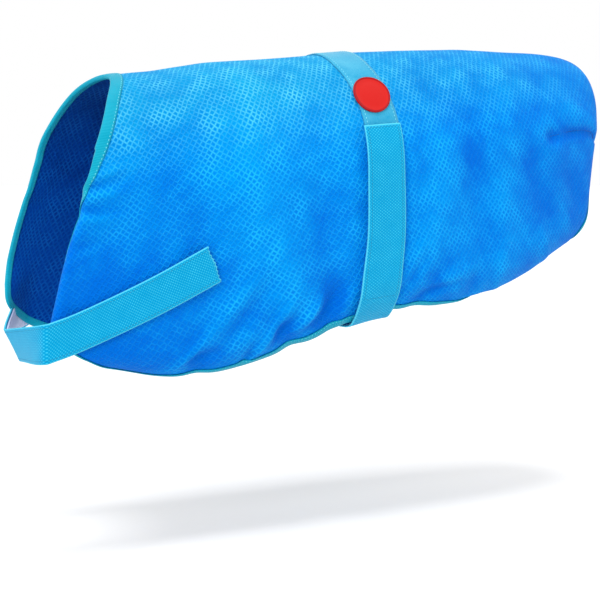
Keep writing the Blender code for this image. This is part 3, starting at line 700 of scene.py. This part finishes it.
def sewn(name, points, normals, thread, pitch=STITCH_PITCH):
    """A row of stitches along a path of points in millimetres, as small lozenges of thread."""
    far = path_length(points)
    count = int(far[-1] / pitch)
    at = (np.arange(count) + 0.5) * far[-1] / count
    spots = np.stack([np.interp(at, far, points[:, k]) for k in range(3)], -1)
    ahead = np.stack([np.interp(at + 0.5, far, points[:, k]) for k in range(3)], -1)
    back = np.stack([np.interp(at - 0.5, far, points[:, k]) for k in range(3)], -1)
    tangents = unit(ahead - back)
    ups = unit(np.stack([np.interp(at, far, normals[:, k]) for k in range(3)], -1))
    sides = unit(np.cross(ups, tangents))
    built = bmesh.new()
    for spot, tangent, up, side in zip(spots, tangents, ups, sides):
        frame_of = Matrix((tangent * STITCH_LONG, side * STITCH_THICK, up * STITCH_THICK))
        turned = frame_of.transposed().to_4x4()
        turned.translation = spot
        bmesh.ops.create_icosphere(built, subdivisions=1, radius=0.5,
                                   matrix=Matrix.Scale(MM, 4) @ turned)
    piece = new_piece(name, built, thread)
    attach(piece, "root")
    return piece


def spun_thread(name, colour, dark, light):
    """Spun polyester thread: matt, round and mottled by its twist, of 1500 turns a metre."""
    thread, tree, shader = new_material(name, colour, 0.6)
    twist = node(tree, "TexNoise", {"Vector": node(tree, "TexCoord").outputs["Object"],
                                    "Scale": 1500.0})
    shade = node(tree, "Mix", {"Factor": twist.outputs["Fac"], 6: linear(dark),
                               7: linear(light)}, data_type="RGBA")
    finished(tree, shader, shade)
    return thread


pale_thread = spun_thread("spun_thread", "#7ADCE8", "#46C2D6", "#A0EAF2")
edge_tape = woven_tape("woven_polyester_tape", "#048CA8", "#28ACC2", TAPE_RIB)

edges, widths = [], []
for edge, table, column in ((NECK_EDGE, NECK_SHOWN, 1), (HEM_EDGE, HEM_SHOWN, 0),
                            (REAR_EDGE, REAR_SHOWN, 1)):
    length = sum(math.dist(*pair) for pair in zip(edge, edge[1:]))
    count = round(length / TAPE_STEP)
    places = along_edge(edge, np.linspace(0, 1, count + 1))
    outside = shown(places[:, column], table)
    if edge is REAR_EDGE:
        places, outside = places[::-1], outside[::-1]
    edges.append(places if edge is REAR_EDGE else places[:-1])
    widths.append(outside if edge is REAR_EDGE else outside[:-1])
cut_edge, outside = np.concatenate(edges), np.concatenate(widths)
cut_edge = np.concatenate([cut_edge, cut_edge[-2:0:-1] * (1, -1)])
outside = np.concatenate([outside, outside[-2:0:-1]])
run = unit(np.roll(cut_edge, -1, 0) - np.roll(cut_edge, 1, 0))
inward = np.stack([run[:, 1], -run[:, 0]], -1)
cut_edge, outside, inward = [np.concatenate([row, row[:1]])
                             for row in (cut_edge, outside, inward)]

over = SEAM_GAP + TAPE_THICK
all_round = np.ones(len(outside))
profile = []             # how far in from the cut edge it is at every place, and its lift
for k in range(ROUND_STEPS):
    profile.append((TAPE_INSIDE * (1 - k / ROUND_STEPS) * all_round, -WALL - over))
for k in range(ROUND_STEPS + 1):
    turn = math.pi * (k / ROUND_STEPS - 0.5)
    profile.append((-TAPE_ROUND * math.cos(turn) * all_round,
                    -WALL / 2 + (WALL / 2 + over) * math.sin(turn)))
for k in range(1, ROUND_STEPS + 1):
    full = TAPE_CROWN * math.sin(math.pi * (k - 0.5) / ROUND_STEPS)
    profile.append((outside * k / ROUND_STEPS, over + full))
reach = np.stack([row[0] for row in profile], 1)
lift = np.array([row[1] for row in profile])
places = cut_edge[:, None] + inward[:, None] * reach[..., None]
tape_points = on_panel(places[..., 0], places[..., 1], lift[None, :])
far = path_length(cut_edge)
round_it = np.cumsum(np.linalg.norm(np.diff(tape_points, axis=1, prepend=tape_points[:, :1]),
                                    axis=-1).mean(0))
flat_tape = np.stack(np.broadcast_arrays(far[:, None], round_it[None, :]), -1)
binding = laid("edge_tape", tape_points, flat_tape, TAPE_THICK, edge_tape, closed=True)
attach(binding, "root")
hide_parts("neck_binding", "hem_binding_left", "hem_binding_right", "rear_binding")
inner_thread = new_material("inner_thread", "#0A86A2", 0.6)[0]
for name, width, height, sign, thread in (
        ("edge_stitches_outside", outside, over, 1, pale_thread),
        ("edge_stitches_inside", TAPE_INSIDE, -WALL - over, -1, inner_thread)):
    places = cut_edge + inward * np.broadcast_to(width - STITCH_INSET, len(outside))[:, None]
    stitches = sewn(name, on_panel(places[:, 0], places[:, 1], height + sign * STITCH_OUT),
                    sign * outward(places[:, 0], places[:, 1]), thread)


# ----------------------------------------------------------------- Dart seams --
# Each rump dart is closed from the inside by a row of close stitches in dark
# thread, which sink into its fold and stop short of the edge tape.
DART_SHORT = 8.0         # of the edge
SEAM_OUT = 0.15

dart_thread = new_material("dart_thread", "#033C88", 0.6)[0]
for name, sign in (("dart_seam_left", 1), ("dart_seam_right", -1)):
    line = np.linspace((DART_TIP[0], sign * DART_TIP[1]),
                       (DART_EDGE[0] - DART_SHORT, sign * DART_EDGE[1]), 60)
    seam = sewn(name, on_panel(line[:, 0], line[:, 1], SEAM_OUT),
                outward(line[:, 0], line[:, 1]), dart_thread, STITCH_LONG)


# ------------------------------------------------------------------- Loop tape --
# Soft nylon loop tape with a silky pile, sewn flat over the back and down both
# sides by a row of stitches inside each edge. The strap's hook tape closes on it.
BAND_WIDTH = 34.0
BAND_THICK = 1.2
BAND_SEAT = SEAM_GAP + BAND_THICK
BAND_STITCHES = 14.2     # off its middle
BAND_CELLS = 180, 12     # along and across it
ROLLED_EDGE = 0.35       # how far its edges sink
PUFFED = 0.15            # how far it puffs up and sinks between its stitches
BAND_FULL = 0.15
PILE = 350.0, 1500.0, 1.0        # tufts in a metre along and across it
PILE_LAY = 45.0          # brushed patches in a metre

# Brushed nylon loops: a silky pile, lying along the tape, paler where it is ruffled.
loop_tape, tree, shader = new_material("brushed_loop_tape", "#2CA0C8", 0.42, Sheen_Weight=0.3,
                                       Sheen_Roughness=0.35, Sheen_Tint=linear("#8CDCF6"),
                                       Specular_Tint=linear("#7ACCF0"))
flat = node(tree, "UVMap", uv_map="cut").outputs["UV"]
stretched = node(tree, "Mapping", {"Vector": flat, "Scale": PILE})
pile = node(tree, "TexNoise", {"Vector": stretched.outputs["Vector"], "Scale": 1.0,
                               "Detail": 3.0})
lay = node(tree, "TexNoise", {"Vector": flat, "Scale": PILE_LAY, "Detail": 3.0})
shine = node(tree, "Math", {0: pile.outputs["Fac"], 1: lay.outputs["Fac"]}, operation="ADD")
spread = node(tree, "MapRange", {"Value": shine.outputs["Value"], "From Min": 0.75,
                                 "From Max": 1.25})
shade = node(tree, "Mix", {"Factor": spread.outputs["Result"], 6: linear("#148CB6"),
                           7: linear("#42A2C2")}, data_type="RGBA")
finished(tree, shader, shade, pile.outputs["Fac"], 0.5, 0.4)

reach = BAND_LINE[-1][1]
across = np.linspace(-reach, reach, BAND_CELLS[0] + 1)[:, None]
off = np.linspace(-BAND_WIDTH / 2, BAND_WIDTH / 2, BAND_CELLS[1] + 1)[None, :]
rolled = ROLLED_EDGE * (np.abs(off) / (BAND_WIDTH / 2)) ** 6
puffed = PUFFED * np.sin(across / 9 + 0.8 * np.sin(across / 31)) * (1 - np.abs(off) / 17.5)
band_points = on_panel(band_at(across) + off, across, BAND_SEAT + puffed - rolled + BAND_FULL,
                       creased=False)
flat_band = np.stack(np.broadcast_arrays(across + 0 * off, off + 0 * across), -1)
band = laid("back_loop_tape", band_points, flat_band, BAND_THICK, loop_tape)
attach(band, "root")
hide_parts("back_band")
for sign, name in ((-1, "band_stitches_front"), (1, "band_stitches_rear")):
    down = np.linspace(-reach + 2, reach - 2, 240)
    along = band_at(down) + sign * BAND_STITCHES
    stitches = sewn(name, on_panel(along, down, BAND_SEAT + 0.2, creased=False),
                    outward(along, down), pale_thread)


# ---------------------------------------------------------------------- Badge --
# A round badge of soft moulded rubber, stuck on the loop tape at the side of the
# spine: a plain, slightly domed face inside a darker, raised rim.
BADGE_PLACE = (-12, 73)
BADGE_RADIUS = 18.0
BADGE_THICK = 1.1
BADGE_RIM = 0.4
BADGE_SEAT = BAND_SEAT + SEAM_GAP
BADGE_STEPS = 72
RIM_INNER = 16.5
RIM_FOOT = 16.2
GRAIN = 2500.0           # grains of its surface in a metre

face_height = BADGE_SEAT + BADGE_THICK
rim_height = face_height + BADGE_RIM
built = bmesh.new()      # half its outline, from its seat's middle round to its face's
chain = [built.verts.new((radius, 0, height)) for radius, height in (
    (0.0, BADGE_SEAT), (9.0, BADGE_SEAT), (17.4, BADGE_SEAT), (BADGE_RADIUS, BADGE_SEAT + 0.5),
    (BADGE_RADIUS, rim_height - 0.5), (17.7, rim_height), (16.9, rim_height),
    (RIM_INNER, rim_height - 0.2), (RIM_FOOT, face_height), (11.0, face_height + 0.1),
    (7.0, face_height + 0.15), (3.5, face_height + 0.18), (0.0, face_height + 0.2))]
for before, after in zip(chain, chain[1:]):
    built.edges.new((before, after))
bmesh.ops.spin(built, geom=built.verts[:] + built.edges[:], axis=(0, 0, 1), cent=(0, 0, 0),
               angle=2 * math.pi, steps=BADGE_STEPS, use_merge=True)
bmesh.ops.remove_doubles(built, verts=built.verts, dist=0.01)
for vert in built.verts:
    vert.co = Vector(on_panel(BADGE_PLACE[0] + vert.co.x, BADGE_PLACE[1] + vert.co.y,
                              vert.co.z, creased=False)) * MM
bmesh.ops.recalc_face_normals(built, faces=built.faces)

# Soft PVC rubber, moulded: smooth, slightly waxy, with a fine even grain.
moulded, tree, shader = new_material("moulded_rubber", "#BC1A18", 0.4, Specular_IOR_Level=0.4,
                                     Specular_Tint=linear("#FF9A8C"))
place = node(tree, "TexCoord").outputs["Object"]
centre = tuple(on_panel(*BADGE_PLACE, face_height, creased=False) * MM)
apart = node(tree, "VectorMath", {0: place, 1: centre}, operation="DISTANCE")
on_rim = node(tree, "MapRange", {"Value": apart.outputs["Value"], "From Min": RIM_FOOT * MM,
                                 "From Max": RIM_INNER * MM})
shade = node(tree, "Mix", {"Factor": on_rim.outputs["Result"], 6: linear("#BC1A18"),
                           7: linear("#960814")}, data_type="RGBA")
grain = node(tree, "TexNoise", {"Vector": place, "Scale": GRAIN, "Detail": 2.0})
finished(tree, shader, shade, grain.outputs["Fac"], 0.25, 0.1)
badge = new_piece("round_badge", built, moulded)
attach(badge, "root")
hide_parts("badge")


# ----------------------------------------------------------------- Belly strap --
# Nylon webbing, plain woven from round yarns between firm edges. It is sewn on the
# right, passes under the belly and closes on the loop tape, with hook tape behind
# its end in a box of stitches.
STRAP_WIDTH = 36.0
STRAP_THICK = 1.4
HOOK_WIDTH = 32.0
HOOK_THICK = 1.0
STRAP_STEP = 2.5
STRAP_COLUMNS = 24
SELVEDGE = 17.0          # off its middle, where its firm edge starts
STRAP_YARN = 1.4         # mm, woven at about 1 and drawn coarse enough to show
STRAP_STITCHES = 14.8    # off its middle
STRAP_PITCH = 3.0        # of its stitches
STITCH_RISE = 0.05
EDGE_ROLL = 0.12         # how far its face is full, or sinks, from edge to edge
BELT_TOP = 102.0         # across, where its end lies on the left
BELT_HOOK_END = 256.0    # where its hook tape stops
BELT_FAR_END = 236.0     # where it is sewn on the right
BELT_AT_HEM = 0.53       # part of the hem's length where it leaves the panel
BELT_PAST_HEM = 5.0      # how far past the hem it follows the body's line
BELT_DROP = 42.0         # how strongly it carries on down before it turns
OVER_ROWS = 56           # from one side to the other
SETTLE_ROWS = 16         # in which it comes down behind its hook tape


def webbing_cloth(name, ground, tip_highlight, edge_highlight_and_seal, yarn):
    """Plain-woven webbing: rounded yarns with a painted highlight on their crests, a stiff
    selvedge with a painted highlight along it, and a paler heat-sealed end."""
    cloth, tree, shader = new_material(name, ground, 0.55, Sheen_Weight=0.1,
                                       Sheen_Tint=linear(tip_highlight), Specular_Tint=linear(tip_highlight),
                                       Specular_IOR_Level=0.3)
    flat = node(tree, "UVMap", uv_map="cut").outputs["UV"]
    way = node(tree, "SeparateXYZ", {"Vector": flat})
    waves = []
    for axis, width in (("X", yarn), ("Y", yarn * 1.15)):
        swing = node(tree, "Math", {0: way.outputs[axis], 1: math.pi / (width * MM)},
                     operation="MULTIPLY")
        waves.append(node(tree, "Math", {0: swing.outputs["Value"]}, operation="SINE"))
    woven = node(tree, "Math", {0: waves[0].outputs["Value"], 1: waves[1].outputs["Value"]},
                 operation="MULTIPLY")
    raised = node(tree, "MapRange", {"Value": woven.outputs["Value"], "From Min": 0.1,
                                     "From Max": 0.9})
    pattern_contrast = node(tree, "TexNoise", {"Vector": flat, "Scale": 70.0, "Detail": 4.0})
    # Painted highlight on the yarns' crests, stronger in random patches.
    shown_highlight = node(tree, "Math", {0: raised.outputs["Result"], 1: pattern_contrast.outputs["Fac"]},
                     operation="MULTIPLY")
    shade = node(tree, "Mix", {"Factor": shown_highlight.outputs["Value"], 6: linear(ground),
                               7: linear(tip_highlight)}, data_type="RGBA")
    # Painted highlight along both selvedges; the heat-sealed end is paler in its own colour.
    off = node(tree, "Math", {0: way.outputs["Y"]}, operation="ABSOLUTE")
    edge = node(tree, "MapRange", {"Value": off.outputs["Value"], "From Min": SELVEDGE * MM,
                                   "From Max": (SELVEDGE + 0.4) * MM, "To Max": 0.7})
    sealed = node(tree, "MapRange", {"Value": way.outputs["X"], "From Min": 1.6 * MM,
                                     "From Max": 0.6 * MM, "To Max": 0.8})
    either = node(tree, "Math", {0: edge.outputs["Result"], 1: sealed.outputs["Result"]},
                  operation="MAXIMUM")
    edged = node(tree, "Mix", {"Factor": either.outputs["Value"], 6: shade.outputs[2],
                               7: linear(edge_highlight_and_seal)}, data_type="RGBA")
    finished(tree, shader, edged, raised.outputs["Result"], 0.5, 0.3)
    return cloth


def carried_on(row, before, reach, target, arrivals, count):
    """Rows that carry a strap on to a target row, which is left out."""
    leave = unit(row - before) * reach
    part = (np.arange(1, count) / count)[:, None, None]
    square, cube = part ** 2, part ** 3
    return (row * (2 * cube - 3 * square + 1) + leave * (cube - 2 * square + part)
            + target * (3 * square - 2 * cube) + arrivals * (cube - square))


def strap_layer(base, normals, height, flat, margin=0.0):
    """One layer over a strap's base: its outer face, drawn in at both edges."""
    columns = base.shape[1] - 1
    width = np.linalg.norm(base[:, -1] - base[:, 0], axis=-1)
    part = (margin / width)[:, None] + (1 - 2 * margin / width)[:, None] * np.linspace(
        0, 1, columns + 1)
    left = np.clip((part * columns).astype(int), 0, columns - 1)
    share = (part * columns - left)[..., None]
    rows = np.arange(len(base))[:, None]

    def slid(grid):
        return grid[rows, left] * (1 - share) + grid[rows, left + 1] * share

    return slid(base) + unit(slid(normals)) * height, slid(flat)


def strap_flat(base):
    """Flat places of a strap: distance along its middle, and across it."""
    far = path_length(base[:, base.shape[1] // 2])
    off = np.linspace(-STRAP_WIDTH / 2, STRAP_WIDTH / 2, base.shape[1])
    return np.stack(np.broadcast_arrays(far[:, None], off[None, :]), -1)


def grid_normals(grid):
    run, cross = np.gradient(grid, axis=0), np.gradient(grid, axis=1)
    return unit(np.cross(run, cross))


# 4ED8F0 is the painted highlight on the yarns' crests, and #58CCE4 is the painted highlight along
# the selvedges and the paler colour of the sealed end.
webbing = webbing_cloth("woven_webbing", "#008EC0", "#4ED8F0", "#58CCE4", STRAP_YARN)
dark_thread = spun_thread("strap_thread", "#067E9E", "#05708E", "#1794B8")

# Hook tape: stiff woven nylon, pale, with close rows of tiny moulded hooks.
HOOK_PITCH = 1.5         # mm between rows of hooks
hook_tape, tree, shader = new_material("hook_tape_nylon", "#C9D2EE", 0.45)
flat = node(tree, "UVMap", uv_map="cut").outputs["UV"]
hooks = node(tree, "TexVoronoi", {"Vector": flat, "Scale": 1 / (HOOK_PITCH * MM),
                                  "Randomness": 0.3}, voronoi_dimensions="2D")
shade = node(tree, "Mix", {"Factor": hooks.outputs["Distance"], 6: linear("#E4E8F8"),
                           7: linear("#A9B4DC")}, data_type="RGBA")
finished(tree, shader, shade, hooks.outputs["Distance"], 0.6, 0.5, invert=True)

off = np.linspace(-STRAP_WIDTH / 2, STRAP_WIDTH / 2, STRAP_COLUMNS + 1)[None, :]
past_hem = float(along_edge(HEM_EDGE, BELT_AT_HEM)[1]) + BELT_PAST_HEM
belt_seat = BAND_SEAT + SEAM_GAP
down = np.arange(BELT_TOP, past_hem, STRAP_STEP)
down = np.append(down, past_hem)[:, None]
up = np.linspace(past_hem, BELT_FAR_END, round((past_hem - BELT_FAR_END) / STRAP_STEP))[:, None]
left = on_panel(band_at(down) + BELT_OFF_BAND + off, down, belt_seat, creased=False)
right = on_panel(band_at(up) + BELT_OFF_BAND + off, -up, belt_seat, creased=False)
arrive = unit(left[-1] - left[-2]) * BELT_DROP * (-1, 1, -1)
under = carried_on(left[-1], left[-2], BELT_DROP, left[-1] * (1, -1, 1), arrive, OVER_ROWS)
belt_base = np.concatenate([left, under, right])
belt_normals = grid_normals(belt_base)
belt_flat = strap_flat(belt_base)
behind = int((BELT_HOOK_END - BELT_TOP) / STRAP_STEP)
raised = (HOOK_THICK + SEAM_GAP) * (1 - ease(np.arange(len(belt_base)), behind,
                                             behind + SETTLE_ROWS))
edge_roll = EDGE_ROLL * np.cos(np.linspace(0, 2 * math.pi, STRAP_COLUMNS + 1))[None, :, None]
top_face, flat_belt = strap_layer(belt_base, belt_normals,
                                  raised[:, None, None] + STRAP_THICK + edge_roll, belt_flat)
belt = laid("belly_webbing", top_face, flat_belt, STRAP_THICK, webbing)
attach(belt, "root")
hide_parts("belly_strap")
rows = slice(2, behind)
hook_face, flat_hook = strap_layer(belt_base[rows], belt_normals[rows], HOOK_THICK,
                                   belt_flat[rows], (STRAP_WIDTH - HOOK_WIDTH) / 2)
belt_hook = laid("belly_hook_tape", hook_face, flat_hook, HOOK_THICK, hook_tape)
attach(belt_hook, "root")
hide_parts("belly_strap_hook_tape")


def stitched_box(name, face, normals, start, stop, thread, ends=(True, True)):
    """Stitches down both long edges of a strap and across it at its ends."""
    share = 0.5 - STRAP_STITCHES / STRAP_WIDTH
    column = share * (face.shape[1] - 1)
    low = int(column)
    part = column - low

    def side_line(grid, mirrored):
        grid = grid[:, ::-1] if mirrored else grid
        return grid[start:stop, low] * (1 - part) + grid[start:stop, low + 1] * part

    runs = [(side_line(face, mirrored), side_line(normals, mirrored))
            for mirrored in (False, True)]
    for wanted, row in zip(ends, (start, stop - 1)):
        if wanted:
            across = slice(low + 1, face.shape[1] - low - 1)
            runs.append((face[row, across], normals[row, across]))
    for i, (line, facing) in enumerate(runs):
        piece = sewn(f"{name}_{i + 1}", line + facing * STITCH_RISE, facing, thread,
                     STRAP_PITCH)


stitched_box("belly_stitches", top_face, belt_normals, 1, behind + 3, dark_thread)


# ----------------------------------------------------------------- Chest strap --
# The same webbing, slanting forward and down each side and folded flat in front of
# the chest. It closes on the left, where its heat-cut end shows, and pale hook
# tape is sewn to its inner face.
CHEST_REACH = 20.0       # how strongly it keeps the side's slant past the panel, left
CHEST_REACH_FAR = 4.0    # and right
CHEST_SOONER = 7         # rows sooner that it leaves the panel on the right
CHEST_SAG = 15.0         # how far it hangs lower past the far corner of the neck
SAG_FROM = (0, 20)       # rows past the fold, where that starts and is whole
SAG_TO = (28, 60)
CHEST_FOLD_TOP = (-338.0, 0.0, -222.0)     # the crease in front, from its top edge
CHEST_FOLD_FOOT = (-325.0, 0.0, -252.0)    # to its bottom edge
CHEST_SEAT = TAPE_THICK + 2 * SEAM_GAP
FRAYED = 0.75            # how far the yarns stand out at its heat-cut end

keys = path_length(np.array(CHEST_LINE, float))
at = np.linspace(0, keys[-1], round(keys[-1] / STRAP_STEP) + 1)
here = interpolate(CHEST_LINE, keys, at)
ahead = unit(interpolate(CHEST_LINE, keys, at + 1) - here)
aside = np.stack([ahead[:, 1], -ahead[:, 0]], -1)
places = here[:, None] + aside[:, None] * off[..., None]
left = on_panel(places[..., 0], places[..., 1], CHEST_SEAT, creased=False, rolls=False)
share = np.linspace(0, 1, STRAP_COLUMNS + 1)[:, None]
crease = np.array(CHEST_FOLD_TOP) * (1 - share) + np.array(CHEST_FOLD_FOOT) * share
halves = [np.concatenate([side, carried_on(side[-1], side[-2], reach, crease,
                                           crease - side[-1], OVER_ROWS // 2)])
          for side, reach in ((left, CHEST_REACH), (left[:-CHEST_SOONER], CHEST_REACH_FAR))]
chest_base = np.concatenate([halves[0], crease[None], halves[1][::-1] * (1, -1, 1)])
past = np.arange(len(chest_base)) - len(halves[0])
chest_base[..., 2] -= (CHEST_SAG * ease(past, *SAG_FROM) * (1 - ease(past, *SAG_TO)))[:, None]
yarns = np.arange(STRAP_COLUMNS + 1)[:, None]
frayed = FRAYED * (np.sin(2.3 * yarns) + np.sin(5.9 * yarns))
chest_base[0] += unit(chest_base[0] - chest_base[1]) * frayed
chest_normals = grid_normals(chest_base)
chest_flat = strap_flat(chest_base)
top_face, flat_chest = strap_layer(chest_base, chest_normals,
                                   HOOK_THICK + SEAM_GAP + STRAP_THICK + edge_roll, chest_flat)
chest = laid("chest_webbing", top_face, flat_chest, STRAP_THICK, webbing)
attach(chest, "root")
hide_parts("chest_strap")
rows = slice(2, len(chest_base) - 2)
hook_face, flat_hook = strap_layer(chest_base[rows], chest_normals[rows], HOOK_THICK,
                                   chest_flat[rows], (STRAP_WIDTH - HOOK_WIDTH) / 2)
chest_hook = laid("chest_hook_tape", hook_face, flat_hook, HOOK_THICK, hook_tape)
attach(chest_hook, "root")
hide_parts("chest_strap_hook_tape")
stitched_box("chest_stitches", top_face, chest_normals, 1, len(top_face) - 1, dark_thread,
             ends=(False, False))
